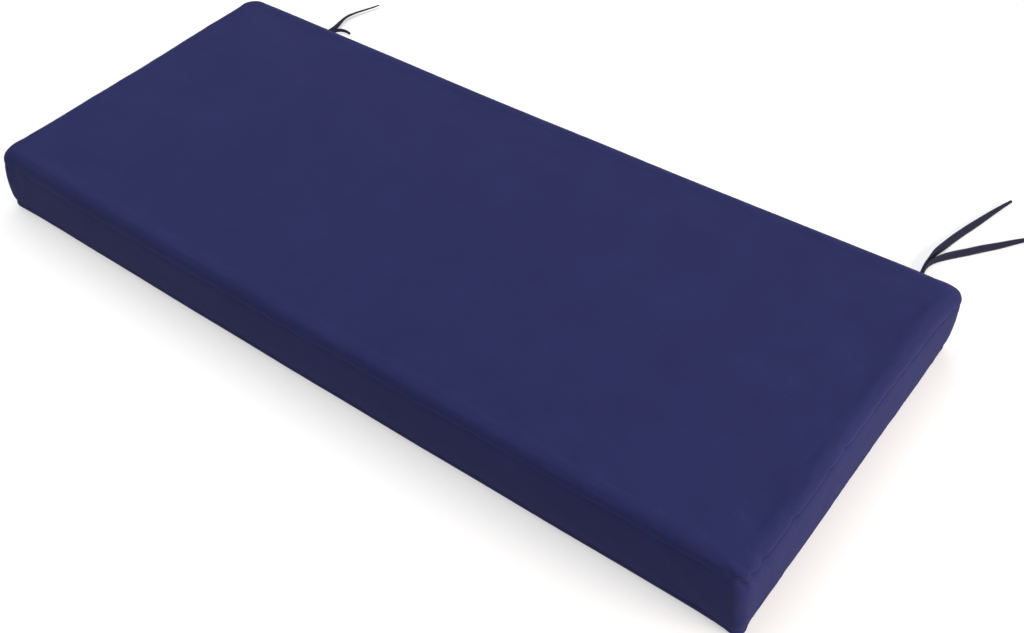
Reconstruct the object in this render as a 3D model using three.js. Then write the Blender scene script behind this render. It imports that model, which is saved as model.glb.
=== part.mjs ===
// A boxed bench cushion with two pairs of ties, lying on its base.
// Millimetres, +Z up. X runs along the bench, -Y is the front edge and Z = 0 is what it lies on.
// The origin is in the middle of the cushion's footprint.
import * as THREE from "three";

// The cushion's driving dimensions
const LENGTH = 1200;
const DEPTH = 500;
const RIM_HEIGHT = 97;
// The corners stand higher than the middles of the edges, and the middle of the top swells above both.
const CORNER_LIFT = 3;
const CROWN = 4;
// The whole bends a little toward the front in plan, and is a little uneven.
const SWEEP = 3.5;
const UNEVENNESS = 0.7;
// Each upright corner has its own plan radius, the upper seam runs at a different height there, and
// its base reaches out further than its top by its splay.
const CORNERS = {
  frontLeft: { radius: 10, seam: 78, splay: 6 },
  frontRight: { radius: 8, seam: 86, splay: 2 },
  rearRight: { radius: 8, seam: 78, splay: -7 },
  rearLeft: { radius: 14, seam: 80, splay: 2 },
};
// A corner turns more widely the further in a line lies, by this share of its distance in.
const WIDER_TURN = 0.6;
// How far the top panel rolls in from the widest line before it lies level
const ROLL_REACH = 19;
const ROLL_STEPS = 5;

// The ties' driving dimensions: flat tapes, folded and stitched, sewn into the lower seam at the back
const TIE_WIDTH = 10;
const TIE_THICKNESS = 2;
const TIP_SHARE = 0.3;
const TAPER_LENGTH = 90;
const STEPS_PER_ROW = 3;
// A root stays this far from its seam, the two tapes of a pair from each other, and a tie from the surface.
const SEAT_GAP = 0.3;
const PAIR_GAP = 0.7;
const SURFACE_GAP = 0.4;

// Finishes
const NAVY = 0x31335f;
const DARK_NAVY = 0x2c2d45;

const HALF_LENGTH = LENGTH / 2;
const HALF_DEPTH = DEPTH / 2;

// The side's section below the roll, from the foot up. drawnIn is measured in from the widest line,
// rise from the base or from the upper seam.
const SECTION = [
  { drawnIn: 9.0, from: "base", rise: 0 },
  { drawnIn: 4.6, from: "base", rise: 1.4 },
  { drawnIn: 2.2, from: "base", rise: 4.6 },
  { drawnIn: 1.4, from: "base", rise: 10 },
  { drawnIn: 3.2, from: "base", rise: 12.5 },
  { drawnIn: 1.4, from: "base", rise: 15 },
  { drawnIn: 0.4, from: "base", rise: 26 },
  { drawnIn: 0.0, from: "base", rise: 47 },
  { drawnIn: 0.4, from: "seam", rise: -16 },
  { drawnIn: 1.5, from: "seam", rise: -2.6 },
  { drawnIn: 3.6, from: "seam", rise: 0 },
  { drawnIn: 1.8, from: "seam", rise: 2.6 },
];
const LOWER_SEAM = 12.5;
const SEAM_LIP = 1.4;

// Distances in from an edge at which the plan grid has its first lines, close where the corners turn
const EDGE_LINES = [0, 6, 14, 24, 38, 56, 80];
const EVEN_SPACING = 33;

function gridLines(half) {
  const last = EDGE_LINES[EDGE_LINES.length - 1];
  const middle = 2 * (half - last);
  const steps = Math.round(middle / EVEN_SPACING);
  const low = EDGE_LINES.map((distance) => distance - half);
  const even = [];
  for (let k = 1; k < steps; k += 1) {
    even.push(last - half + (middle * k) / steps);
  }
  const high = EDGE_LINES.map((distance) => half - distance).reverse();
  return [...low, ...even, ...high];
}

// A value that each corner has, mixed over the plan by how near the corners are
function mixCorners(name, x, y) {
  const right = THREE.MathUtils.smoothstep(x, -HALF_LENGTH, HALF_LENGTH);
  const rear = THREE.MathUtils.smoothstep(y, -HALF_DEPTH, HALF_DEPTH);
  const front = THREE.MathUtils.lerp(CORNERS.frontLeft[name], CORNERS.frontRight[name], right);
  const back = THREE.MathUtils.lerp(CORNERS.rearLeft[name], CORNERS.rearRight[name], right);
  return THREE.MathUtils.lerp(front, back, rear);
}

function unevenness(x, y) {
  return UNEVENNESS * Math.sin(x / 83 + y / 59) * Math.sin(x / 137 - y / 71 + 1);
}

// A point of the sharp rectangle, moved to the rounded, bent outline that is drawn in by an inset.
// Each corner's square is mapped to a quarter disc. The height tells how far the corner splays.
function planPoint(u, v, inset, height) {
  const halfX = HALF_LENGTH - inset;
  const halfY = HALF_DEPTH - inset;
  let x = (u * halfX) / HALF_LENGTH;
  let y = (v * halfY) / HALF_DEPTH;
  const cornerX = Math.sign(u) * HALF_LENGTH;
  const cornerY = Math.sign(v) * HALF_DEPTH;
  const turn = mixCorners("radius", cornerX, cornerY) + WIDER_TURN * inset;
  const intoX = Math.abs(x) - (halfX - turn);
  const intoY = Math.abs(y) - (halfY - turn);
  if (intoX > 0 && intoY > 0) {
    const shareX = intoX / turn;
    const shareY = intoY / turn;
    x = Math.sign(x) * (halfX - turn + intoX * Math.sqrt(1 - (shareY * shareY) / 2));
    y = Math.sign(y) * (halfY - turn + intoY * Math.sqrt(1 - (shareX * shareX) / 2));
  }
  const nearCorner = (u / HALF_LENGTH) ** 12 * (v / HALF_DEPTH) ** 6;
  const splay = mixCorners("splay", cornerX, cornerY) * nearCorner * (0.5 - height / RIM_HEIGHT);
  x += Math.sign(u) * splay;
  y += Math.sign(v) * splay;
  const sweep = SWEEP * (1 - (x / HALF_LENGTH) ** 2);
  return new THREE.Vector2(x, y - sweep + SWEEP / 2);
}

// The top panel's height: lifted corners, a crown in the middle and a little unevenness
function topHeight(x, y) {
  const alongX = Math.min(Math.abs(x) / HALF_LENGTH, 1);
  const alongY = Math.min(Math.abs(y) / HALF_DEPTH, 1);
  const lift = CORNER_LIFT * alongX ** 2 * alongY ** 2;
  const crown = CROWN * (1 - alongX ** 4) * (1 - alongY ** 2);
  return RIM_HEIGHT + lift + crown + unevenness(x, y);
}

// The whole side's section at one place of the outline: the table's rows, then the roll of the top
// panel as a quarter of an ellipse.
function sideSection(x, y) {
  const seam = mixCorners("seam", x, y) + unevenness(y, x);
  const heights = { base: 0, seam };
  const rows = SECTION.map((row) => ({ drawnIn: row.drawnIn, height: heights[row.from] + row.rise }));
  const start = rows[rows.length - 1];
  const inner = planPoint(x, y, ROLL_REACH, RIM_HEIGHT);
  const rim = topHeight(inner.x, inner.y);
  for (let k = 1; k <= ROLL_STEPS; k += 1) {
    const angle = (Math.PI / 2) * (k / ROLL_STEPS);
    const drawnIn = start.drawnIn + (ROLL_REACH - start.drawnIn) * (1 - Math.cos(angle));
    rows.push({ drawnIn, height: start.height + (rim - start.height) * Math.sin(angle) });
  }
  return rows;
}

function meshFrom(name, positions, triangles, color, roughness) {
  const geometry = new THREE.BufferGeometry();
  geometry.setAttribute("position", new THREE.Float32BufferAttribute(positions, 3));
  geometry.setIndex(triangles);
  geometry.computeVertexNormals();
  const material = new THREE.MeshStandardMaterial({ color, roughness, metalness: 0 });
  const mesh = new THREE.Mesh(geometry, material);
  mesh.name = name;
  return mesh;
}

// The cushion: one filled solid. Its side rings follow the section, the grid of the top panel closes
// them above and a flat base closes them below.
function cushion() {
  const linesX = gridLines(HALF_LENGTH);
  const linesY = gridLines(HALF_DEPTH);
  const lastX = linesX.length - 1;
  const lastY = linesY.length - 1;

  // The grid's border points, anticlockwise from the front left corner
  const border = [];
  for (let i = 0; i < lastX; i += 1) border.push([i, 0]);
  for (let j = 0; j < lastY; j += 1) border.push([lastX, j]);
  for (let i = lastX; i > 0; i -= 1) border.push([i, lastY]);
  for (let j = lastY; j > 0; j -= 1) border.push([0, j]);

  const positions = [];
  const add = (x, y, z) => positions.push(x, y, z) / 3 - 1;
  const rings = [];
  for (const [i, j] of border) {
    const u = linesX[i];
    const v = linesY[j];
    const column = sideSection(u, v).map((row) => {
      const inset = row.drawnIn + (row.height > 0 ? unevenness(v, u) : 0);
      const place = planPoint(u, v, inset, row.height);
      return add(place.x, place.y, row.height);
    });
    rings.push(column);
  }

  const triangles = [];
  const quad = (a, b, c, d) => triangles.push(a, b, c, a, c, d);
  const around = border.length;
  const rows = rings[0].length;
  for (let p = 0; p < around; p += 1) {
    const here = rings[p];
    const next = rings[(p + 1) % around];
    for (let k = 0; k < rows - 1; k += 1) {
      quad(here[k], next[k], next[k + 1], here[k + 1]);
    }
  }

  // The top panel: its border is the last ring
  const onTop = new Map(border.map(([i, j], p) => [`${i},${j}`, rings[p][rows - 1]]));
  for (let i = 1; i < lastX; i += 1) {
    for (let j = 1; j < lastY; j += 1) {
      const place = planPoint(linesX[i], linesY[j], ROLL_REACH, RIM_HEIGHT);
      onTop.set(`${i},${j}`, add(place.x, place.y, topHeight(place.x, place.y)));
    }
  }
  const top = (i, j) => onTop.get(`${i},${j}`);
  for (let i = 0; i < lastX; i += 1) {
    for (let j = 0; j < lastY; j += 1) {
      quad(top(i, j), top(i + 1, j), top(i + 1, j + 1), top(i, j + 1));
    }
  }

  // The base lies flat.
  const middle = add(0, 0, 0);
  for (let p = 0; p < around; p += 1) {
    triangles.push(middle, rings[(p + 1) % around][0], rings[p][0]);
  }
  return meshFrom("cushion", positions, triangles, NAVY, 0.85);
}

// The ties' routes, each row a place of the tape's middle line. lift is its height above lying on the
// surface, turn the angle of its width from level, in degrees. A pair shares its stem, where the two
// tapes lie face to face, and each has its own strand beyond.
const ROOT_X = 534;
const ROOT_LIFT = LOWER_SEAM - SURFACE_GAP - TIE_THICKNESS / 2;
const RIGHT_STEM = [
  { x: ROOT_X, y: 258, lift: 10.6, turn: 0 },
  { x: 533, y: 268, lift: 8, turn: 20 },
  { x: 531, y: 282, lift: 3.5, turn: 50 },
  { x: 527, y: 300, lift: 0.8, turn: 78 },
  { x: 523, y: 322, lift: 0, turn: 90 },
  { x: 520, y: 340, lift: 0, turn: 90 },
  { x: 518, y: 355, lift: 0, turn: 90 },
];
const RIGHT_UPPER = [
  { x: 516.5, y: 371, lift: 0, turn: 84 },
  { x: 517.5, y: 387, lift: 0, turn: 62 },
  { x: 520.5, y: 405, lift: 0, turn: 40 },
  { x: 524.5, y: 427, lift: 0, turn: 28 },
  { x: 530, y: 450, lift: 0, turn: 24 },
  { x: 537, y: 476, lift: 0, turn: 22 },
  { x: 543.5, y: 500, lift: 0, turn: 24 },
  { x: 549.5, y: 520, lift: 0, turn: 30 },
  { x: 556, y: 540, lift: 0, turn: 36 },
];
const RIGHT_LOWER = [
  { x: 522, y: 369, lift: 0, turn: 86 },
  { x: 529.5, y: 383, lift: 0, turn: 68 },
  { x: 539, y: 397, lift: 0, turn: 48 },
  { x: 550, y: 411, lift: 0, turn: 38 },
  { x: 563, y: 428, lift: 0, turn: 34 },
  { x: 579, y: 447, lift: 0, turn: 34 },
  { x: 590, y: 461.5, lift: 0, turn: 32 },
  { x: 600, y: 474, lift: 0, turn: 29 },
  { x: 609, y: 484, lift: 0, turn: 26 },
  { x: 616.5, y: 492, lift: 0, turn: 24 },
];
const LEFT_STEM = [
  { x: -ROOT_X, y: 258, lift: 10.6, turn: 0 },
  { x: -533.5, y: 268, lift: 8, turn: 20 },
  { x: -533, y: 282, lift: 3.5, turn: 50 },
  { x: -532.5, y: 300, lift: 0.8, turn: 78 },
  { x: -532, y: 318, lift: 0, turn: 90 },
  { x: -531.5, y: 334, lift: 0, turn: 90 },
];
const LEFT_UPPER = [
  { x: -533, y: 350, lift: 0, turn: 92 },
  { x: -536.5, y: 366, lift: 0, turn: 103 },
  { x: -540.5, y: 382, lift: 0, turn: 119 },
  { x: -541, y: 394, lift: 0, turn: 129 },
  { x: -538, y: 407, lift: 0, turn: 135 },
  { x: -533, y: 419, lift: 0, turn: 136 },
  { x: -528, y: 430, lift: 0, turn: 137 },
  { x: -524, y: 440, lift: 0, turn: 140 },
  { x: -521.5, y: 448.5, lift: 0, turn: 144 },
];
const LEFT_LOWER = [
  { x: -529.4, y: 340, lift: 0, turn: 87 },
  { x: -527.3, y: 345.3, lift: 0, turn: 81 },
  { x: -524, y: 349.5, lift: 0, turn: 70 },
  { x: -519.8, y: 352.6, lift: 0, turn: 60 },
  { x: -515, y: 354.6, lift: 0, turn: 50 },
  { x: -510, y: 355.4, lift: 0, turn: 42 },
  { x: -505.5, y: 355.2, lift: 0, turn: 36 },
  { x: -501.5, y: 354.5, lift: 0, turn: 32 },
];

// A tape's cross-section: eight points of a flat oval, as shares of half its width and thickness
const TAPE_SECTION = [
  { across: 1, through: 0.35 },
  { across: 0.86, through: 1 },
  { across: -0.86, through: 1 },
  { across: -1, through: 0.35 },
  { across: -1, through: -0.35 },
  { across: -0.86, through: -1 },
  { across: 0.86, through: -1 },
  { across: 1, through: -0.35 },
];

function tie(name, stem, strand, side) {
  const apart = (side * (TIE_THICKNESS + PAIR_GAP)) / 2;
  const rootX = stem[0].x;
  const seamLine = SEAM_LIP + unevenness(HALF_DEPTH, rootX);
  const seat = planPoint(rootX, HALF_DEPTH, seamLine, LOWER_SEAM).y + SEAT_GAP;
  const root = { x: rootX, y: seat, lift: ROOT_LIFT, turn: 0 };
  const faceToFace = [root, ...stem].map((row) => ({ ...row, apart }));
  const rows = [...faceToFace, ...strand.map((row) => ({ ...row, apart: 0 }))];

  // A row's place: the tape's lower edge rests on the surface, and a stem's tapes stand apart.
  const places = rows.map((row) => {
    const turn = THREE.MathUtils.degToRad(row.turn);
    const wide = (TIE_WIDTH / 2) * Math.abs(Math.sin(turn));
    const thick = (TIE_THICKNESS / 2) * Math.abs(Math.cos(turn));
    const height = SURFACE_GAP + wide + thick + row.lift;
    return new THREE.Vector3(
      row.x + row.apart * Math.sin(turn),
      row.y,
      height + row.apart * Math.cos(turn),
    );
  });
  const route = new THREE.CatmullRomCurve3(places, false, "catmullrom", 0.5);

  const steps = (rows.length - 1) * STEPS_PER_ROW;
  const middles = [];
  for (let s = 0; s <= steps; s += 1) {
    middles.push(route.getPoint(s / steps));
  }
  const toTip = middles.map(() => 0);
  for (let s = steps - 1; s >= 0; s -= 1) {
    toTip[s] = toTip[s + 1] + middles[s].distanceTo(middles[s + 1]);
  }

  const positions = [];
  const upright = new THREE.Vector3(0, 0, 1);
  for (let s = 0; s <= steps; s += 1) {
    const along = route.getTangent(s / steps);
    const level = new THREE.Vector3().crossVectors(upright, along).normalize();
    const rise = new THREE.Vector3().crossVectors(along, level);
    const row = Math.min(Math.floor(s / STEPS_PER_ROW), rows.length - 2);
    const share = s / STEPS_PER_ROW - row;
    const turn = THREE.MathUtils.degToRad(
      THREE.MathUtils.lerp(rows[row].turn, rows[row + 1].turn, share),
    );
    const across = level.clone().multiplyScalar(Math.cos(turn)).addScaledVector(rise, Math.sin(turn));
    const through = new THREE.Vector3().crossVectors(along, across);
    const narrow = THREE.MathUtils.smoothstep(toTip[s], -TAPER_LENGTH / 3, TAPER_LENGTH);
    const width = TIE_WIDTH * THREE.MathUtils.lerp(TIP_SHARE, 1, narrow);
    for (const corner of TAPE_SECTION) {
      const point = middles[s].clone();
      point.addScaledVector(across, (corner.across * width) / 2);
      point.addScaledVector(through, (corner.through * TIE_THICKNESS) / 2);
      positions.push(point.x, point.y, point.z);
    }
  }

  const triangles = [];
  const sides = TAPE_SECTION.length;
  for (let s = 0; s < steps; s += 1) {
    for (let c = 0; c < sides; c += 1) {
      const a = s * sides + c;
      const b = s * sides + ((c + 1) % sides);
      triangles.push(a, b, b + sides, a, b + sides, a + sides);
    }
  }
  const far = steps * sides;
  for (let c = 1; c < sides - 1; c += 1) {
    triangles.push(0, c + 1, c);
    triangles.push(far, far + c, far + c + 1);
  }
  return meshFrom(name, positions, triangles, DARK_NAVY, 0.9);
}

const benchCushion = new THREE.Group();
benchCushion.add(cushion());
benchCushion.add(tie("tie_right_upper", RIGHT_STEM, RIGHT_UPPER, -1));
benchCushion.add(tie("tie_right_lower", RIGHT_STEM, RIGHT_LOWER, 1));
benchCushion.add(tie("tie_left_upper", LEFT_STEM, LEFT_UPPER, -1));
benchCushion.add(tie("tie_left_lower", LEFT_STEM, LEFT_LOWER, 1));

export default benchCushion;
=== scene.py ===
# A navy bench cushion with two pairs of ties, lying on its base on a pale studio floor. Metres, +Z up.
import math

import bpy
import numpy as np
from mathutils import Matrix, Vector, noise


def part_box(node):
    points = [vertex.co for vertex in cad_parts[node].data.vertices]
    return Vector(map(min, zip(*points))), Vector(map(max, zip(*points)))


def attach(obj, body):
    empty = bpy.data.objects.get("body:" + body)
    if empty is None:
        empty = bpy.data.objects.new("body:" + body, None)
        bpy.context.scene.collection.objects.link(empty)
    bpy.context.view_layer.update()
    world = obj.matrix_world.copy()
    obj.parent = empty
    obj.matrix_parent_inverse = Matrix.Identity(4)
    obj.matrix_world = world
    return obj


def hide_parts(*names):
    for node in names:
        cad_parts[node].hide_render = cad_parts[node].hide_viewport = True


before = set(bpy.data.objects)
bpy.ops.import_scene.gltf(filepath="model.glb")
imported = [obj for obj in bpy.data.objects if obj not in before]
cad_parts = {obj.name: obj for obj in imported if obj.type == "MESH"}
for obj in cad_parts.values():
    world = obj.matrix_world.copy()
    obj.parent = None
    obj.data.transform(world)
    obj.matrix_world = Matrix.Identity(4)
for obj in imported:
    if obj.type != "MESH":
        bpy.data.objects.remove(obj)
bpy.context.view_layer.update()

# The camera
# It looks over the cushion's front right corner from 45 degrees above, as the photograph was taken.
camera_azimuth = math.radians(41.22986)
camera_elevation = math.radians(44.6217)
camera_roll = math.radians(-4.54447)
camera_distance = 1.56396
camera_aim = Vector((0.13372, -0.01706, 0.0))
level_reach = math.cos(camera_elevation)
camera_back = Vector((
    math.sin(camera_azimuth) * level_reach,
    -math.cos(camera_azimuth) * level_reach,
    math.sin(camera_elevation),
))
level_right = Vector((math.cos(camera_azimuth), math.sin(camera_azimuth), 0.0))
level_up = camera_back.cross(level_right)
camera_right = level_right * math.cos(camera_roll) + level_up * math.sin(camera_roll)
camera_up = level_up * math.cos(camera_roll) - level_right * math.sin(camera_roll)
camera = bpy.data.objects.new("camera", bpy.data.cameras.new("camera"))
camera.data.sensor_fit = "HORIZONTAL"
camera.data.sensor_width = 36.0
camera.data.lens = 43.249
camera_turn = Matrix((camera_right, camera_up, camera_back)).transposed().to_4x4()
camera.matrix_world = Matrix.Translation(camera_aim + camera_back * camera_distance) @ camera_turn
bpy.context.scene.collection.objects.link(camera)
bpy.context.scene.camera = camera

# The ties
# Four flat tapes, each a strip of the cover cloth folded in and stitched along both edges. A pair is
# sewn into the lower seam near each back corner, and lies on the floor behind the cushion.
tie_width = 0.010
tie_thickness = 0.002
tie_tip_share = 0.3
# The tape starts to narrow this far before its free end, and would be narrowest a third of that past it.
tie_taper = 0.090
tie_taper_past = tie_taper / 3
tie_steps = 8
pair_gap = 0.0007
surface_gap = 0.0004
root_x = 0.534
lower_seam = 0.0125
root_lift = lower_seam - surface_gap - tie_thickness / 2
# How far the sewn end runs on into the seam
root_tuck = 0.0035

# The routes: x, y, how far the tape's middle is above lying on the floor, and the turn of its width
# from level in degrees
right_stem = [
    (root_x, 0.258, 0.0106, 0),
    (0.533, 0.268, 0.008, 20),
    (0.531, 0.282, 0.0035, 50),
    (0.527, 0.300, 0.0008, 78),
    (0.523, 0.322, 0.0, 90),
    (0.520, 0.340, 0.0, 90),
    (0.518, 0.355, 0.0, 90),
]
right_upper = [
    (0.5165, 0.371, 0.0, 84),
    (0.5175, 0.387, 0.0, 62),
    (0.5205, 0.405, 0.0, 40),
    (0.5245, 0.427, 0.0, 28),
    (0.530, 0.450, 0.0, 24),
    (0.537, 0.476, 0.0, 22),
    (0.5435, 0.500, 0.0, 24),
    (0.5495, 0.520, 0.0, 30),
    (0.556, 0.540, 0.0, 36),
]
right_lower = [
    (0.522, 0.369, 0.0, 86),
    (0.5295, 0.383, 0.0, 68),
    (0.539, 0.397, 0.0, 48),
    (0.55, 0.411, 0.0, 38),
    (0.563, 0.428, 0.0, 34),
    (0.579, 0.447, 0.0, 34),
    (0.59, 0.4615, 0.0, 32),
    (0.6, 0.474, 0.0, 29),
    (0.609, 0.484, 0.0, 26),
    (0.6165, 0.492, 0.0, 24),
]
left_stem = [
    (-root_x, 0.258, 0.0106, 0),
    (-0.5335, 0.268, 0.008, 20),
    (-0.533, 0.282, 0.0035, 50),
    (-0.5325, 0.300, 0.0008, 78),
    (-0.532, 0.318, 0.0, 90),
    (-0.5315, 0.334, 0.0, 90),
]
left_upper = [
    (-0.533, 0.35, 0.0, 92),
    (-0.5365, 0.366, 0.0, 103),
    (-0.5405, 0.382, 0.0, 119),
    (-0.541, 0.394, 0.0, 129),
    (-0.538, 0.407, 0.0, 135),
    (-0.533, 0.419, 0.0, 136),
    (-0.528, 0.43, 0.0, 137),
    (-0.524, 0.44, 0.0, 140),
    (-0.5215, 0.4485, 0.0, 144),
]
left_lower = [
    (-0.5294, 0.34, 0.0, 87),
    (-0.5273, 0.3453, 0.0, 81),
    (-0.524, 0.3495, 0.0, 70),
    (-0.5198, 0.3526, 0.0, 60),
    (-0.515, 0.3546, 0.0, 50),
    (-0.51, 0.3554, 0.0, 42),
    (-0.5055, 0.3552, 0.0, 36),
    (-0.5015, 0.3545, 0.0, 32),
]

# Half of the tape's section, from one edge over its upper face to the other: the folded edge is
# rounded, and each stitch row lies in a shallow channel. Shares of half the width and thickness.
stitch_row_share = 0.71
tie_face = [
    (1.0, 0.0), (0.985, 0.45), (0.93, 0.82), (0.84, 0.98), (0.76, 0.9), (stitch_row_share, 0.62),
    (0.66, 0.88), (0.56, 0.98), (0.3, 0.93), (0.0, 0.9), (-0.3, 0.93), (-0.56, 0.98), (-0.66, 0.88),
    (-stitch_row_share, 0.62), (-0.76, 0.9), (-0.84, 0.98), (-0.93, 0.82), (-0.985, 0.45),
]
tie_section = tie_face + [(-across, -through) for across, through in tie_face]


def smooth_step(value, low, high):
    share = min(max((value - low) / (high - low), 0.0), 1.0)
    return share * share * (3.0 - 2.0 * share)


def along_route(rows, place):
    """The place on the smooth curve through the rows, and its direction; rows are x, y, z, turn."""
    first = min(int(place), len(rows) - 2)
    share = place - first
    here, there = rows[first], rows[first + 1]
    before = rows[first - 1] if first > 0 else here * 2 - there
    after = rows[first + 2] if first + 2 < len(rows) else there * 2 - here
    leave = (there - before) / 2
    arrive = (after - here) / 2
    square = (there - here) * 3 - leave * 2 - arrive
    cube = (here - there) * 2 + leave + arrive
    value = here + leave * share + square * share ** 2 + cube * share ** 3
    slope = leave + square * (2 * share) + cube * (3 * share ** 2)
    return value, slope


def make_tie(node, stem, strand, side):
    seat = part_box(node)[0][1]
    apart = side * (tie_thickness + pair_gap) / 2
    stem_rows = [(stem[0][0], seat, root_lift, 0), *stem]
    rows = []
    for x, y, lift, turn in stem_rows + strand:
        tilt = math.radians(turn)
        wide = tie_width / 2 * abs(math.sin(tilt))
        thick = tie_thickness / 2 * abs(math.cos(tilt))
        aside = apart if len(rows) < len(stem_rows) else 0.0
        rows.append(Vector((
            x + aside * math.sin(tilt),
            y,
            surface_gap + wide + thick + lift + aside * math.cos(tilt),
            tilt,
        )))
    ring_count = (len(rows) - 1) * tie_steps + 1
    routed = [along_route(rows, ring / tie_steps) for ring in range(ring_count)]
    centres = [value.to_3d() for value, slope in routed]
    lengths = [0.0]
    for one, two in zip(centres, centres[1:]):
        lengths.append(lengths[-1] + (two - one).length)
    whole = lengths[-1]

    # The sewn end, one ring further back inside the seam
    tucked = (centres[0] - Vector((0.0, root_tuck, 0.0)), routed[0][0].w, Vector((0.0, 1.0, 0.0)), -root_tuck)
    rings = [tucked]
    for (value, slope), length in zip(routed, lengths):
        rings.append((value.to_3d(), value.w, slope.to_3d().normalized(), length))

    points = []
    marks = []
    for centre, tilt, direction, length in rings:
        level = Vector((0.0, 0.0, 1.0)).cross(direction).normalized()
        rise = direction.cross(level)
        across = level * math.cos(tilt) + rise * math.sin(tilt)
        through = direction.cross(across)
        narrow = smooth_step(whole - length, -tie_taper_past, tie_taper)
        half_width = tie_width / 2 * (tie_tip_share + (1 - tie_tip_share) * narrow)
        for share_across, share_through in tie_section:
            place = centre + across * (share_across * half_width)
            points.append(place + through * (share_through * tie_thickness / 2))
            marks.append((length, share_across * half_width + tie_width * (share_through < 0)))
    sides = len(tie_section)
    faces = []
    for ring in range(len(rings) - 1):
        for corner in range(sides):
            start = ring * sides + corner
            beside = ring * sides + (corner + 1) % sides
            faces.append((start, beside, beside + sides, start + sides))
    last = (len(rings) - 1) * sides
    faces.append(tuple(reversed(range(sides))))
    faces.append(tuple(range(last, last + sides)))
    mesh = bpy.data.meshes.new(node + "_tape")
    mesh.from_pydata(points, [], faces)
    mapped = mesh.uv_layers.new(name="tape")
    for loop in mesh.loops:
        mapped.data[loop.index].uv = marks[loop.vertex_index]
    for face in mesh.polygons:
        face.use_smooth = True
    mesh.validate()
    tape = bpy.data.objects.new(node + "_tape", mesh)
    bpy.context.scene.collection.objects.link(tape)
    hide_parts(node)
    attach(tape, "root")
    return tape


ties = [
    make_tie("tie_right_upper", right_stem, right_upper, -1),
    make_tie("tie_right_lower", right_stem, right_lower, 1),
    make_tie("tie_left_upper", left_stem, left_upper, -1),
    make_tie("tie_left_lower", left_stem, left_lower, 1),
]


def new_group(name, inputs, outputs):
    """A shader node group with float or vector sockets, and its two end nodes."""
    group = bpy.data.node_groups.new(name, "ShaderNodeTree")
    for socket, kind, value in inputs:
        made = group.interface.new_socket(socket, in_out="INPUT", socket_type=kind)
        if value is not None:
            made.default_value = value
    for socket, kind in outputs:
        group.interface.new_socket(socket, in_out="OUTPUT", socket_type=kind)
    return group, group.nodes.new("NodeGroupInput"), group.nodes.new("NodeGroupOutput")


def feed(tree, socket, value):
    if hasattr(value, "is_output"):
        tree.links.new(value, socket)
    else:
        socket.default_value = value


def math_node(tree, operation, one, two=None, clamp=False):
    node = tree.nodes.new("ShaderNodeMath")
    node.operation = operation
    node.use_clamp = clamp
    feed(tree, node.inputs[0], one)
    if two is not None:
        feed(tree, node.inputs[1], two)
    return node.outputs[0]


# A plain weave: each warp thread passes over and under the weft threads by turns. It puts out the
# height of the upper thread at each place, and how much a thread differs in shade from the next.
weave, weave_in, weave_out = new_group(
    "plain weave",
    [("Cloth Place", "NodeSocketVector", None), ("Thread Pitch", "NodeSocketFloat", 0.0008)],
    [("Thread Height", "NodeSocketFloat"), ("Thread Shade", "NodeSocketFloat")],
)
cloth_axes = weave.nodes.new("ShaderNodeSeparateXYZ")
weave.links.new(weave_in.outputs["Cloth Place"], cloth_axes.inputs[0])
threads_x = math_node(weave, "DIVIDE", cloth_axes.outputs[0], weave_in.outputs["Thread Pitch"])
threads_y = math_node(weave, "DIVIDE", cloth_axes.outputs[1], weave_in.outputs["Thread Pitch"])
wave_x = math_node(weave, "SINE", math_node(weave, "MULTIPLY", threads_x, math.pi))
wave_y = math_node(weave, "SINE", math_node(weave, "MULTIPLY", threads_y, math.pi))
crossing = math_node(weave, "MULTIPLY", wave_x, wave_y)
warp = math_node(weave, "ADD", math_node(weave, "ABSOLUTE", wave_x), crossing)
weft = math_node(weave, "SUBTRACT", math_node(weave, "ABSOLUTE", wave_y), crossing)
upper_thread = math_node(weave, "MULTIPLY", math_node(weave, "MAXIMUM", warp, weft), 0.5)
weave.links.new(upper_thread, weave_out.inputs["Thread Height"])
slub_length = 0.030
thread_noise_scale = 0.9
slow_x = math_node(weave, "DIVIDE", cloth_axes.outputs[0], slub_length)
slow_y = math_node(weave, "DIVIDE", cloth_axes.outputs[1], slub_length)
shades = []
for along_thread, across_thread in ((slow_y, threads_x), (slow_x, threads_y)):
    thread_place = weave.nodes.new("ShaderNodeCombineXYZ")
    weave.links.new(across_thread, thread_place.inputs[0])
    weave.links.new(along_thread, thread_place.inputs[1])
    shade = weave.nodes.new("ShaderNodeTexNoise")
    shade.noise_dimensions = "2D"
    shade.inputs["Scale"].default_value = thread_noise_scale
    shade.inputs["Detail"].default_value = 1.0
    weave.links.new(thread_place.outputs[0], shade.inputs["Vector"])
    shades.append(shade.outputs["Fac"])
on_warp = math_node(weave, "GREATER_THAN", warp, weft)
shade_mix = weave.nodes.new("ShaderNodeMix")
weave.links.new(on_warp, shade_mix.inputs["Factor"])
weave.links.new(shades[1], shade_mix.inputs["A"])
weave.links.new(shades[0], shade_mix.inputs["B"])
weave.links.new(shade_mix.outputs["Result"], weave_out.inputs["Thread Shade"])


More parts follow.
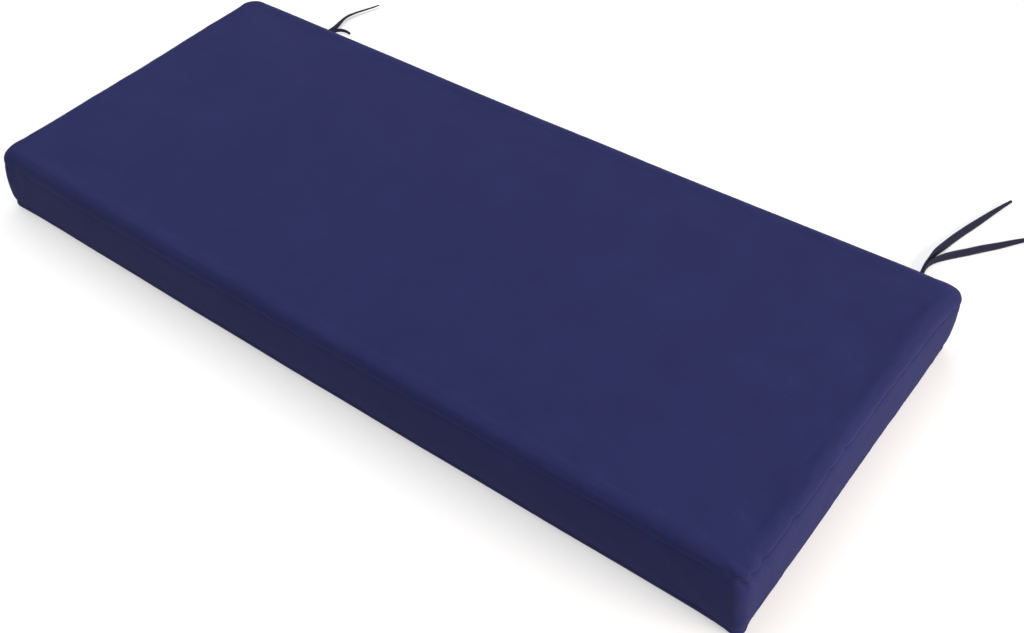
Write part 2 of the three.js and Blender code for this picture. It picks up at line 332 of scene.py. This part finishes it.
# The dye took unevenly: broad faint patches, and specks the size of a few threads.
dye, dye_in, dye_out = new_group(
    "uneven dye",
    [
        ("Place", "NodeSocketVector", None),
        ("Patch Scale", "NodeSocketFloat", 14.0),
        ("Patch Share", "NodeSocketFloat", 0.42),
        ("Speck Scale", "NodeSocketFloat", 420.0),
        ("Speck Share", "NodeSocketFloat", 0.2),
    ],
    [("Dye", "NodeSocketFloat")],
)
patches = dye.nodes.new("ShaderNodeTexNoise")
patches.inputs["Detail"].default_value = 4.0
patches.inputs["Roughness"].default_value = 0.55
specks = dye.nodes.new("ShaderNodeTexNoise")
specks.inputs["Detail"].default_value = 2.0
dye_parts = []
for spots, kind in ((patches, "Patch"), (specks, "Speck")):
    dye.links.new(dye_in.outputs["Place"], spots.inputs["Vector"])
    dye.links.new(dye_in.outputs[kind + " Scale"], spots.inputs["Scale"])
    dye_parts.append(math_node(dye, "MULTIPLY", spots.outputs["Fac"], dye_in.outputs[kind + " Share"]))
dye.links.new(math_node(dye, "ADD", dye_parts[0], dye_parts[1]), dye_out.inputs["Dye"])


# How much a thread's own shade lightens the cloth, how much painted shade darkens the hollows between the
# threads against their tops, and what is taken off their sum
thread_share = 0.55
hollow_shade_share = 0.22
lightness_base = 0.2
# The roughness in the hollows between the threads, and how much smoother the top of a thread is
hollow_roughness = 0.9
thread_smoothness = 0.12
weave_strength = 0.7


def cloth_material(name, uv_name, dark, light, pitch, weave_depth):
    """Woven cloth: the weave's height as bump, and a colour that goes from dark to light with
    patches of the dye, single threads, and painted shade in the hollows between them."""
    material = bpy.data.materials.new(name)
    material.use_nodes = True
    tree = material.node_tree
    shader = tree.nodes["Principled BSDF"]
    uv = tree.nodes.new("ShaderNodeUVMap")
    uv.uv_map = uv_name
    threads = tree.nodes.new("ShaderNodeGroup")
    threads.node_tree = weave
    threads.inputs["Thread Pitch"].default_value = pitch
    tree.links.new(uv.outputs["UV"], threads.inputs["Cloth Place"])
    place = tree.nodes.new("ShaderNodeTexCoord")
    dyed = tree.nodes.new("ShaderNodeGroup")
    dyed.node_tree = dye
    tree.links.new(place.outputs["Object"], dyed.inputs["Place"])
    from_threads = math_node(tree, "MULTIPLY", threads.outputs["Thread Shade"], thread_share)
    # Painted shade: the weave's height paints the hollows between the threads darker and the tops of the
    # threads lighter.
    painted_hollow_shade = math_node(tree, "MULTIPLY", threads.outputs["Thread Height"], hollow_shade_share)
    lightness = math_node(tree, "ADD", dyed.outputs["Dye"], from_threads)
    lightness = math_node(tree, "ADD", lightness, painted_hollow_shade)
    lightness = math_node(tree, "SUBTRACT", lightness, lightness_base, clamp=True)
    lightness.node.name = "lightness"
    colour = tree.nodes.new("ShaderNodeMix")
    colour.data_type = "RGBA"
    colour.inputs["A"].default_value = (*dark, 1.0)
    colour.inputs["B"].default_value = (*light, 1.0)
    tree.links.new(lightness, colour.inputs["Factor"])
    tree.links.new(colour.outputs["Result"], shader.inputs["Base Color"])
    roughness = math_node(tree, "MULTIPLY_ADD", threads.outputs["Thread Height"], -thread_smoothness)
    roughness.node.inputs[2].default_value = hollow_roughness
    tree.links.new(roughness, shader.inputs["Roughness"])
    shader.inputs["Specular IOR Level"].default_value = 0.04
    shader.inputs["Sheen Weight"].default_value = 0.06
    shader.inputs["Sheen Roughness"].default_value = 0.45
    shader.inputs["Sheen Tint"].default_value = (0.46, 0.42, 0.78, 1.0)
    bump = tree.nodes.new("ShaderNodeBump")
    bump.inputs["Strength"].default_value = weave_strength
    bump.inputs["Distance"].default_value = weave_depth
    tree.links.new(threads.outputs["Thread Height"], bump.inputs["Height"])
    tree.links.new(bump.outputs["Normal"], shader.inputs["Normal"])
    return material


tape_cloth = cloth_material(
    "tie tape cloth", "tape", dark=(0.008, 0.009, 0.018), light=(0.022, 0.023, 0.046),
    pitch=0.0006, weave_depth=0.0002,
)

# Two rows of stitches in a thread a little lighter than the tape, on both faces
stitch_pitch = 0.0030
stitch_share = 0.72
stitch_half_width = 0.00035
stitch_row = stitch_row_share * tie_width / 2
tape_tree = tape_cloth.node_tree
tape_axes = tape_tree.nodes.new("ShaderNodeSeparateXYZ")
tape_map = tape_tree.nodes.new("ShaderNodeUVMap")
tape_map.uv_map = "tape"
tape_tree.links.new(tape_map.outputs["UV"], tape_axes.inputs[0])
on_face = math_node(tape_tree, "WRAP", tape_axes.outputs[1], tie_width / 2)
on_face.node.inputs[2].default_value = -tie_width / 2
off_row = math_node(tape_tree, "SUBTRACT", math_node(tape_tree, "ABSOLUTE", on_face), stitch_row)
on_row = math_node(tape_tree, "LESS_THAN", math_node(tape_tree, "ABSOLUTE", off_row), stitch_half_width)
stitches_along = math_node(tape_tree, "DIVIDE", tape_axes.outputs[0], stitch_pitch)
along_stitch = math_node(tape_tree, "FRACT", stitches_along)
on_stitch = math_node(tape_tree, "LESS_THAN", along_stitch, stitch_share)
stitch = math_node(tape_tree, "MULTIPLY", on_row, on_stitch)
tape_shader = tape_tree.nodes["Principled BSDF"]
cloth_colour = tape_shader.inputs["Base Color"].links[0].from_socket
thread_colour = tape_tree.nodes.new("ShaderNodeMix")
thread_colour.data_type = "RGBA"
thread_colour.inputs["B"].default_value = (0.035, 0.037, 0.065, 1.0)
tape_tree.links.new(cloth_colour, thread_colour.inputs["A"])
tape_tree.links.new(stitch, thread_colour.inputs["Factor"])
tape_tree.links.new(thread_colour.outputs["Result"], tape_shader.inputs["Base Color"])
tape_bump = tape_shader.inputs["Normal"].links[0].from_node
stitch_bump = tape_tree.nodes.new("ShaderNodeBump")
stitch_bump.inputs["Strength"].default_value = 0.8
stitch_bump.inputs["Distance"].default_value = 0.0004
tape_tree.links.new(stitch, stitch_bump.inputs["Height"])
tape_tree.links.new(tape_bump.outputs["Normal"], stitch_bump.inputs["Normal"])
tape_tree.links.new(stitch_bump.outputs["Normal"], tape_shader.inputs["Normal"])
for tape in ties:
    tape.data.materials.append(tape_cloth)

# The cushion
# A boxed cover of woven navy cloth over a firm pad: a top panel that rolls over the edge, a boxing
# strip and a flat base panel, joined by plain seams that draw the cloth in and pucker it.
length = 1.200
depth = 0.500
rim_height = 0.097
corner_lift = 0.003
crown = 0.004
sweep = 0.0035
# Slow waves that run slantwise over the cloth: their height, and where each comes round again
unevenness = 0.0007
long_wave = (0.137, 0.071)
short_wave = (0.083, 0.059)
wider_turn = 0.6
roll_reach = 0.019
half_length = length / 2
half_depth = depth / 2
# How fast a corner's splay fades away from it, along the long side and along the end
splay_fade_x = 12
splay_fade_y = 6
# Each upright corner's plan radius, the upper seam's height there, and how far its base splays out
front_left = {"radius": 0.010, "seam": 0.078, "splay": 0.006}
front_right = {"radius": 0.006, "seam": 0.086, "splay": 0.002}
rear_right = {"radius": 0.008, "seam": 0.078, "splay": -0.007}
rear_left = {"radius": 0.014, "seam": 0.080, "splay": 0.002}
# The side's section without its seams: how far it is drawn in from the widest line, and the height
# above the base or above the upper seam
section_from_base = [
    (0.0090, 0.0), (0.0064, 0.0005), (0.0046, 0.0014), (0.0031, 0.0028), (0.0022, 0.0046),
    (0.0017, 0.0072), (0.0015, 0.0096), (0.0014, 0.0113), (0.0014, 0.0125), (0.0013, 0.0137),
    (0.0012, 0.0154), (0.0010, 0.0180), (0.0007, 0.0220), (0.00035, 0.0290), (0.0001, 0.0380),
    (0.0, 0.0470),
]
section_from_seam = [
    (0.0001, -0.0240), (0.0004, -0.0160), (0.0007, -0.0100), (0.0010, -0.0062), (0.0012, -0.0034),
    (0.0014, -0.0014), (0.0015, 0.0), (0.0016, 0.0014), (0.0018, 0.0028),
]
roll_steps = 8
# The pad is built smaller by this much, and the pressure inside swells the cover out again.
held_back = 0.0028
# The height above the floor over which the swelling comes to its full measure
resting_reach = 0.006
swell_frames = 20
# Points below this height lie on the floor and are held there.
floor_height = 0.0001
# The ripples left by the simulation: how far round a point their mean is taken, in steps of the mesh
# squared, and the most that they may move the cover
ripple_span = 24
ripple_limit = 0.0006
edge_lines = [0.0, 0.003, 0.0065, 0.0105, 0.015, 0.020, 0.026, 0.033, 0.041, 0.050]
even_spacing = 0.0115


def mix_corners(name, x, y):
    right = smooth_step(x, -half_length, half_length)
    rear = smooth_step(y, -half_depth, half_depth)
    front_value = front_left[name] + (front_right[name] - front_left[name]) * right
    rear_value = rear_left[name] + (rear_right[name] - rear_left[name]) * right
    return front_value + (rear_value - front_value) * rear


def uneven(x, y):
    one_way = math.sin(x / short_wave[0] + y / short_wave[1])
    other_way = math.sin(x / long_wave[0] - y / long_wave[1] + 1)
    return unevenness * one_way * other_way


def plan_place(u, v, inset, height):
    """A point of the sharp rectangle, moved to the rounded outline that is drawn in by an inset."""
    half_x = half_length - inset
    half_y = half_depth - inset
    x = u * half_x / half_length
    y = v * half_y / half_depth
    corner_x = math.copysign(half_length, u)
    corner_y = math.copysign(half_depth, v)
    turn = mix_corners("radius", corner_x, corner_y) + wider_turn * inset
    into_x = abs(x) - (half_x - turn)
    into_y = abs(y) - (half_y - turn)
    if into_x > 0 and into_y > 0:
        share_x = into_x / turn
        share_y = into_y / turn
        x = math.copysign(half_x - turn + into_x * math.sqrt(1 - share_y ** 2 / 2), x)
        y = math.copysign(half_y - turn + into_y * math.sqrt(1 - share_x ** 2 / 2), y)
    near_corner = (u / half_length) ** splay_fade_x * (v / half_depth) ** splay_fade_y
    splay = mix_corners("splay", corner_x, corner_y) * near_corner * (0.5 - height / rim_height)
    x += math.copysign(1.0, u) * splay
    y += math.copysign(1.0, v) * splay
    return x, y - sweep * (1 - (x / half_length) ** 2) + sweep / 2


def top_height(x, y):
    along_x = min(abs(x) / half_length, 1.0)
    along_y = min(abs(y) / half_depth, 1.0)
    lift = corner_lift * along_x ** 2 * along_y ** 2
    swell = crown * (1 - along_x ** 4) * (1 - along_y ** 2)
    return rim_height + lift + swell + uneven(x, y)


def cover_lines(half):
    last = edge_lines[-1]
    steps = round(2 * (half - last) / even_spacing)
    low = [distance - half for distance in edge_lines]
    even = [last - half + 2 * (half - last) * step / steps for step in range(1, steps)]
    return low + even + [-value for value in reversed(low)]


lines_x = cover_lines(half_length)
lines_y = cover_lines(half_depth)
last_x = len(lines_x) - 1
last_y = len(lines_y) - 1
border = [(i, 0) for i in range(last_x)] + [(last_x, j) for j in range(last_y)]
border += [(i, last_y) for i in range(last_x, 0, -1)] + [(0, j) for j in range(last_y, 0, -1)]

cover_points = []
# For each point, its height above the upper and the lower seam as measured over the cloth
above_upper = []
above_lower = []
# A distance that is past any effect of a seam
clear_of_seams = 0.2


def add_cover_point(x, y, z, from_upper, from_lower):
    cover_points.append((x, y, z))
    above_upper.append(from_upper)
    above_lower.append(from_lower)
    return len(cover_points) - 1


columns = []
upper_row = len(section_from_base) + section_from_seam.index((0.0015, 0.0))
lower_row = section_from_base.index((0.0014, 0.0125))
widest_row = len(section_from_base) - 1
for i, j in border:
    u, v = lines_x[i], lines_y[j]
    seam_height = mix_corners("seam", u, v) + uneven(v, u)
    rows = list(section_from_base)
    rows += [(drawn_in, seam_height + rise) for drawn_in, rise in section_from_seam]
    roll_start = rows[-1]
    rim_x, rim_y = plan_place(u, v, roll_reach, rim_height)
    rim = top_height(rim_x, rim_y)
    for step in range(1, roll_steps + 1):
        angle = math.pi / 2 * step / roll_steps
        drawn_in = roll_start[0] + (roll_reach - roll_start[0]) * (1 - math.cos(angle))
        rows.append((drawn_in, roll_start[1] + (rim - roll_start[1]) * math.sin(angle)))
    distances = [0.0]
    for one, two in zip(rows, rows[1:]):
        distances.append(distances[-1] + math.dist(one, two))
    column = []
    for row, (drawn_in, height) in enumerate(rows):
        roll_share = max(height - seam_height, 0.0) / (rim - seam_height)
        off_floor = min(height / resting_reach, 1.0)
        inset = drawn_in + (held_back + uneven(v, u)) * off_floor * (1 - roll_share ** 2)
        x, y = plan_place(u, v, inset, height)
        lowered = height - held_back * roll_share ** 2
        column.append(add_cover_point(
            x, y, lowered, distances[row] - distances[upper_row], distances[row] - distances[lower_row],
        ))
    columns.append(column)

cover_faces = []
cover_marks = []
around = len(border)
row_count = len(columns[0])


def add_cover_face(corners, marks):
    cover_faces.append(corners)
    cover_marks.extend(marks)


run = [0.0]
for p in range(around):
    here, there = columns[p][widest_row], columns[(p + 1) % around][widest_row]
    run.append(run[-1] + math.dist(cover_points[here][:2], cover_points[there][:2]))
for p in range(around):
    here, there = columns[p], columns[(p + 1) % around]
    for row in range(row_count - 1):
        low, high = above_lower[here[row]], above_lower[here[row + 1]]
        add_cover_face(
            (here[row], there[row], there[row + 1], here[row + 1]),
            ((run[p], low), (run[p + 1], low), (run[p + 1], high), (run[p], high)),
        )

# The top panel inside its rolled border
on_top = {place: columns[p][-1] for p, place in enumerate(border)}
for i in range(1, last_x):
    for j in range(1, last_y):
        x, y = plan_place(lines_x[i], lines_y[j], roll_reach, rim_height)
        on_top[i, j] = add_cover_point(x, y, top_height(x, y) - held_back, clear_of_seams, clear_of_seams)
# The rounded corners crowd the panel's lines together, so the points there are moved evenly apart.
spread_rounds = 20
spread_cells = 5
spread_x = [*range(1, spread_cells), *range(last_x - spread_cells + 1, last_x)]
spread_y = [*range(1, spread_cells), *range(last_y - spread_cells + 1, last_y)]
for i, j in [(i, j) for i in spread_x for j in spread_y] * spread_rounds:
    beside = [on_top[i - 1, j], on_top[i + 1, j], on_top[i, j - 1], on_top[i, j + 1]]
    x = sum(cover_points[point][0] for point in beside) / 4
    y = sum(cover_points[point][1] for point in beside) / 4
    cover_points[on_top[i, j]] = (x, y, top_height(x, y) - held_back)
for i in range(last_x):
    for j in range(last_y):
        corners = (on_top[i, j], on_top[i + 1, j], on_top[i + 1, j + 1], on_top[i, j + 1])
        add_cover_face(corners, [cover_points[corner][:2] for corner in corners])

# The base panel, flat inside the foot
on_base = {place: columns[p][0] for p, place in enumerate(border)}
for i in range(1, last_x):
    for j in range(1, last_y):
        x, y = plan_place(lines_x[i], lines_y[j], section_from_base[0][0], 0.0)
        on_base[i, j] = add_cover_point(x, y, 0.0, -clear_of_seams, -clear_of_seams)
for i in range(last_x):
    for j in range(last_y):
        corners = (on_base[i, j], on_base[i, j + 1], on_base[i + 1, j + 1], on_base[i + 1, j])
        add_cover_face(corners, [cover_points[corner][:2] for corner in corners])

cover_mesh = bpy.data.meshes.new("cushion_cover")
cover_mesh.from_pydata(cover_points, [], cover_faces)
cover_uv = cover_mesh.uv_layers.new(name="cloth")
cover_uv.data.foreach_set("uv", np.array(cover_marks, dtype=np.float32).ravel())
for name, values in (("above_upper", above_upper), ("above_lower", above_lower)):
    attribute = cover_mesh.attributes.new(name, "FLOAT", "POINT")
    attribute.data.foreach_set("value", np.array(values, dtype=np.float32))
for face in cover_mesh.polygons:
    face.use_smooth = True
cushion = bpy.data.objects.new("cushion_cover", cover_mesh)
bpy.context.scene.collection.objects.link(cushion)


def read_points(mesh, what):
    values = np.empty(len(mesh.vertices) * 3, dtype=np.float32)
    mesh.vertices.foreach_get(what, values)
    return values.reshape(-1, 3).astype(np.float64)


def read_mark(mesh, name):
    values = np.empty(len(mesh.vertices), dtype=np.float32)
    mesh.attributes[name].data.foreach_get("value", values)
    return values.astype(np.float64)


# The swelling: the closed cover is held where it rests, its seams are drawn up a little, and the
# pressure inside stretches it. The firm pad keeps the whole in shape, so the cover swells evenly by
# what it was held back, and the ripples that the simulation leaves come on top of that.
rest = read_points(cover_mesh, "co")
outward = read_points(cover_mesh, "normal")
ripples = np.zeros(len(rest))
held = cushion.vertex_groups.new(name="held")
held.add([index for index, point in enumerate(cover_points) if point[2] < floor_height], 1.0, "REPLACE")
drawn = cushion.vertex_groups.new(name="drawn")
drawn.add([column[upper_row] for column in columns], 1.0, "REPLACE")
drawn.add([column[lower_row] for column in columns], 1.0, "REPLACE")
swelling = cushion.modifiers.new("swelling", "CLOTH")
settings = swelling.settings
settings.quality = 6
settings.mass = 0.3
settings.tension_stiffness = 15.0
settings.compression_stiffness = 15.0
settings.shear_stiffness = 5.0
settings.bending_stiffness = 0.5
settings.use_pressure = True
settings.uniform_pressure_force = 4.0
settings.vertex_group_mass = "held"
settings.pin_stiffness = 1.0
settings.vertex_group_shrink = "drawn"
settings.shrink_min = 0.0
settings.shrink_max = 0.04
settings.effector_weights.gravity = 0.0
swelling.collision_settings.use_collision = False
swelling.point_cache.frame_start = 1
swelling.point_cache.frame_end = swell_frames
for step in range(1, swell_frames + 1):
    bpy.context.scene.frame_set(step)
swollen = cushion.evaluated_get(bpy.context.evaluated_depsgraph_get())
stretched = ((read_points(swollen.data, "co") - rest) * outward).sum(axis=1)
cushion.modifiers.clear()
cushion.vertex_groups.clear()
bpy.context.scene.frame_set(1)

# What is left of each point's move once the mean of the cloth round it is taken away
ends = np.empty(len(cover_mesh.edges) * 2, dtype=np.int32)
cover_mesh.edges.foreach_get("vertices", ends)
one_end, other_end = ends[0::2], ends[1::2]
neighbours = np.bincount(ends, minlength=len(rest))
broad = stretched.copy()
for step in range(ripple_span):
    total = np.bincount(one_end, broad[other_end], len(rest))
    total += np.bincount(other_end, broad[one_end], len(rest))
    broad = (broad + total / neighbours) / 2
ripples = ripple_limit * np.tanh((stretched - broad) / ripple_limit)

# The stitched cloth at a seam swells less, and the cloth that rests on the floor doesn't swell.
stitched_reach = 0.006
stitched_hold = 0.25
near_upper = np.exp(-(np.array(above_upper) / stitched_reach) ** 2)
near_lower = np.exp(-(np.array(above_lower) / stitched_reach) ** 2)
off_base = np.clip(rest[:, 2] / resting_reach, 0.0, 1.0)
swell = (held_back + ripples) * off_base * (1 - stitched_hold * np.minimum(near_upper + near_lower, 1.0))
placed = rest + outward * swell[:, None]
placed[:, 2] = np.maximum(placed[:, 2], 0.0)
cover_mesh.vertices.foreach_set("co", placed.astype(np.float32).ravel())
cover_mesh.update()
cushion.modifiers.new("finer", "SUBSURF").levels = 1
finer = cushion.evaluated_get(bpy.context.evaluated_depsgraph_get())
fine_mesh = bpy.data.meshes.new_from_object(
    finer, preserve_all_data_layers=True, depsgraph=bpy.context.evaluated_depsgraph_get(),
)
cushion.modifiers.clear()
cushion.data = fine_mesh

# The seams: a narrow channel that draws in the cloth beside it, and puckers that cross it
points = read_points(fine_mesh, "co")
outward = read_points(fine_mesh, "normal")
from_upper = read_mark(fine_mesh, "above_upper")
from_lower = read_mark(fine_mesh, "above_lower")
seam_depth = 0.0017
seam_width = 0.0016
tuck_depth = 0.0008
tuck_width = 0.006
# Along the long sides the cloth is pulled smooth over the seams, which hardly show.
long_side_share = 0.15
lower_seam_share = 0.5
pucker_depth = 0.0008
pucker_reach = 0.009
pucker_pitch = 0.016
# Below this height the cloth lies flat and has no puckers.
pucker_floor = 0.002
inward = np.zeros(len(points))


def near(place, reach):
    """How near each point is in plan to a place: one at the place itself, and little past the reach."""
    away = np.hypot(points[:, 0] - place[0], points[:, 1] - place[1])
    return np.exp(-(away / reach) ** 2)


pucker = np.array([
    noise.noise(Vector((x / pucker_pitch, y / pucker_pitch, 0.0))) if z > pucker_floor else 0.0
    for x, y, z in points
])
# How far the cloth faces an end, from where the seam starts to deepen to where it is at its deepest
facing_start = 0.25
facing_blend = 0.5
on_an_end = np.clip((np.abs(outward[:, 0]) - facing_start) / facing_blend, 0.0, 1.0)
seam_share = long_side_share + (1 - long_side_share) * on_an_end
# Round three corners the seams are pulled flatter: a place, its reach and how much flatter
flat_corners = [
    ((half_length, half_depth), 0.060, 0.85),
    ((half_length, -half_depth), 0.028, 0.6),
    ((-half_length, -half_depth), 0.040, 0.8),
]
for place, reach, flatter in flat_corners:
    seam_share *= 1 - flatter * near(place, reach)
drawn_tight = fine_mesh.attributes.new("seam_share", "FLOAT", "POINT")
drawn_tight.data.foreach_set("value", seam_share.astype(np.float32))
for from_seam, strength in ((from_upper, 1.0), (from_lower, lower_seam_share)):
    share = strength * seam_share
    inward += share * seam_depth * np.exp(-(from_seam / seam_width) ** 2)
    inward += share * tuck_depth * np.exp(-(from_seam / tuck_width) ** 2)
    inward += pucker_depth * 2 * np.abs(pucker) * np.exp(-np.abs(from_seam) / pucker_reach)

# At the rear right corner the cloth stands proud over the upper seam.
proud_height = 0.0016
proud_width = 0.009
proud_reach = 0.040
at_corner = near((half_length, half_depth), proud_reach)
inward -= proud_height * at_corner * np.exp(-(from_upper / proud_width) ** 2)

# Where the cloth of the right end is gathered most: a crease that runs up from the seam
gather_places = [-0.243, -0.227, -0.205, -0.146, -0.072, -0.036]
gather_depth = 0.0036
gather_width = 0.0038
gather_reach = 0.011
gather_slant = 0.35
gather_middle = 0.003
end_start = half_length - 0.030
end_blend = 0.010
on_right_end = np.clip((points[:, 0] - end_start) / end_blend, 0.0, 1.0)
for place in gather_places:
    slanted = points[:, 1] - place + gather_slant * from_upper
    across = np.exp(-(slanted / gather_width) ** 2)
    along = np.exp(-np.abs(from_upper - gather_middle) / gather_reach)
    inward += on_right_end * gather_depth * across * along

points -= outward * inward[:, None]

# The pad is pushed a little out of true: a place on the floor, how far round it the push reaches,
# the push, and the height above which it fades out, if it does
pushes = [
    ((half_length, half_depth), 0.045, (0.0012, -0.0026, -0.0012), 1.0),
    ((half_length, -0.170), 0.150, (0.0018, 0.0, 0.0), 0.060),
    ((-half_length, -half_depth), 0.070, (-0.0022, 0.0, 0.0), 1.0),
    ((-0.450, half_depth), 0.220, (0.0, 0.0006, 0.0016), 1.0),
    ((half_length, -half_depth), 0.022, (0.0030, -0.0026, 0.0), 0.020),
]
for place, spread, push, ceiling in pushes:
    off_floor = np.clip(points[:, 2] / resting_reach, 0.0, 1.0)
    below = np.clip(2.0 - points[:, 2] / ceiling, 0.0, 1.0)
    pushed = (near(place, spread) * below)[:, None] * np.array(push)
    pushed[:, 2] *= off_floor
    points += pushed
points[:, 2] = np.maximum(points[:, 2], 0.0)
fine_mesh.vertices.foreach_set("co", points.astype(np.float32).ravel())
fine_mesh.update()
cover_cloth = cloth_material(
    "cover cloth", "cloth", dark=(0.0093, 0.0118, 0.0485), light=(0.0214, 0.0252, 0.0955),
    pitch=0.0009, weave_depth=0.0003,
)
fine_mesh.materials.append(cover_cloth)

# The cloth is painted a little paler on the folds beside the seams, the more so where these are drawn tight.
fold_offset = 0.0045
fold_width = 0.0035
fold_fade = 0.18
cover_tree = cover_cloth.node_tree
fold_share = cover_tree.nodes.new("ShaderNodeAttribute")
fold_share.attribute_name = "seam_share"
local_fade = math_node(cover_tree, "MULTIPLY", fold_share.outputs["Fac"], fold_fade)
lightness_before = cover_tree.nodes["lightness"].outputs[0]
colour_factor = lightness_before.links[0].to_socket
faded = lightness_before
for seam_mark in ("above_upper", "above_lower"):
    seam_distance = cover_tree.nodes.new("ShaderNodeAttribute")
    seam_distance.attribute_name = seam_mark
    off_fold = math_node(cover_tree, "ABSOLUTE", seam_distance.outputs["Fac"])
    off_fold = math_node(cover_tree, "SUBTRACT", off_fold, fold_offset)
    off_fold = math_node(cover_tree, "DIVIDE", math_node(cover_tree, "ABSOLUTE", off_fold), fold_width)
    fade = math_node(cover_tree, "SUBTRACT", 1.0, off_fold, clamp=True)
    faded = math_node(cover_tree, "ADD", faded, math_node(cover_tree, "MULTIPLY", fade, local_fade))
cover_tree.links.new(faded, colour_factor)
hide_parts("cushion")
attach(cushion, "root")

# The floor and the light
# A pale product table that is lit a little from within, so that shadows on it stay faint, in an even
# room, with a large soft lamp low on the right and a wide one overhead.
floor_half = 8.0
floor_mesh = bpy.data.meshes.new("floor")
floor_mesh.from_pydata(
    [(-floor_half, -floor_half, 0), (floor_half, -floor_half, 0), (floor_half, floor_half, 0),
     (-floor_half, floor_half, 0)], [], [(0, 1, 2, 3)],
)
floor = bpy.data.objects.new("floor", floor_mesh)
bpy.context.scene.collection.objects.link(floor)
floor_paint = bpy.data.materials.new("pale floor")
floor_paint.use_nodes = True
floor_shader = floor_paint.node_tree.nodes["Principled BSDF"]
floor_shader.inputs["Base Color"].default_value = (0.5, 0.5, 0.5, 1.0)
floor_shader.inputs["Emission Color"].default_value = (1.0, 1.0, 1.0, 1.0)
floor_shader.inputs["Emission Strength"].default_value = 0.4
floor_shader.inputs["Roughness"].default_value = 0.9
floor_shader.inputs["Specular IOR Level"].default_value = 0.1
floor_mesh.materials.append(floor_paint)


def soft_lamp(name, place, aim, wide, high, power, colour):
    lamp = bpy.data.objects.new(name, bpy.data.lights.new(name, "AREA"))
    lamp.data.shape = "RECTANGLE"
    lamp.data.size = wide
    lamp.data.size_y = high
    lamp.data.energy = power
    lamp.data.color = colour
    lamp.location = place
    lamp.rotation_euler = (Vector(aim) - Vector(place)).to_track_quat("-Z", "Y").to_euler()
    bpy.context.scene.collection.objects.link(lamp)


soft_lamp(
    "side lamp", place=(3.6, 0.3, 1.3), aim=(0.2, 0.0, 0.0), wide=2.4, high=1.4,
    power=208.0, colour=(1.0, 0.87, 0.78),
)
soft_lamp(
    "overhead lamp", place=(-1.5, 0.5, 3.0), aim=(-0.3, 0.0, 0.0), wide=6.0, high=4.5,
    power=186.0, colour=(0.94, 0.97, 1.0),
)

world = bpy.data.worlds.new("pale room")
world.use_nodes = True
background = world.node_tree.nodes["Background"]
background.inputs["Color"].default_value = (1.0, 1.0, 1.0, 1.0)
background.inputs["Strength"].default_value = 0.36
bpy.context.scene.world = world
bpy.context.scene.view_settings.view_transform = "Standard"
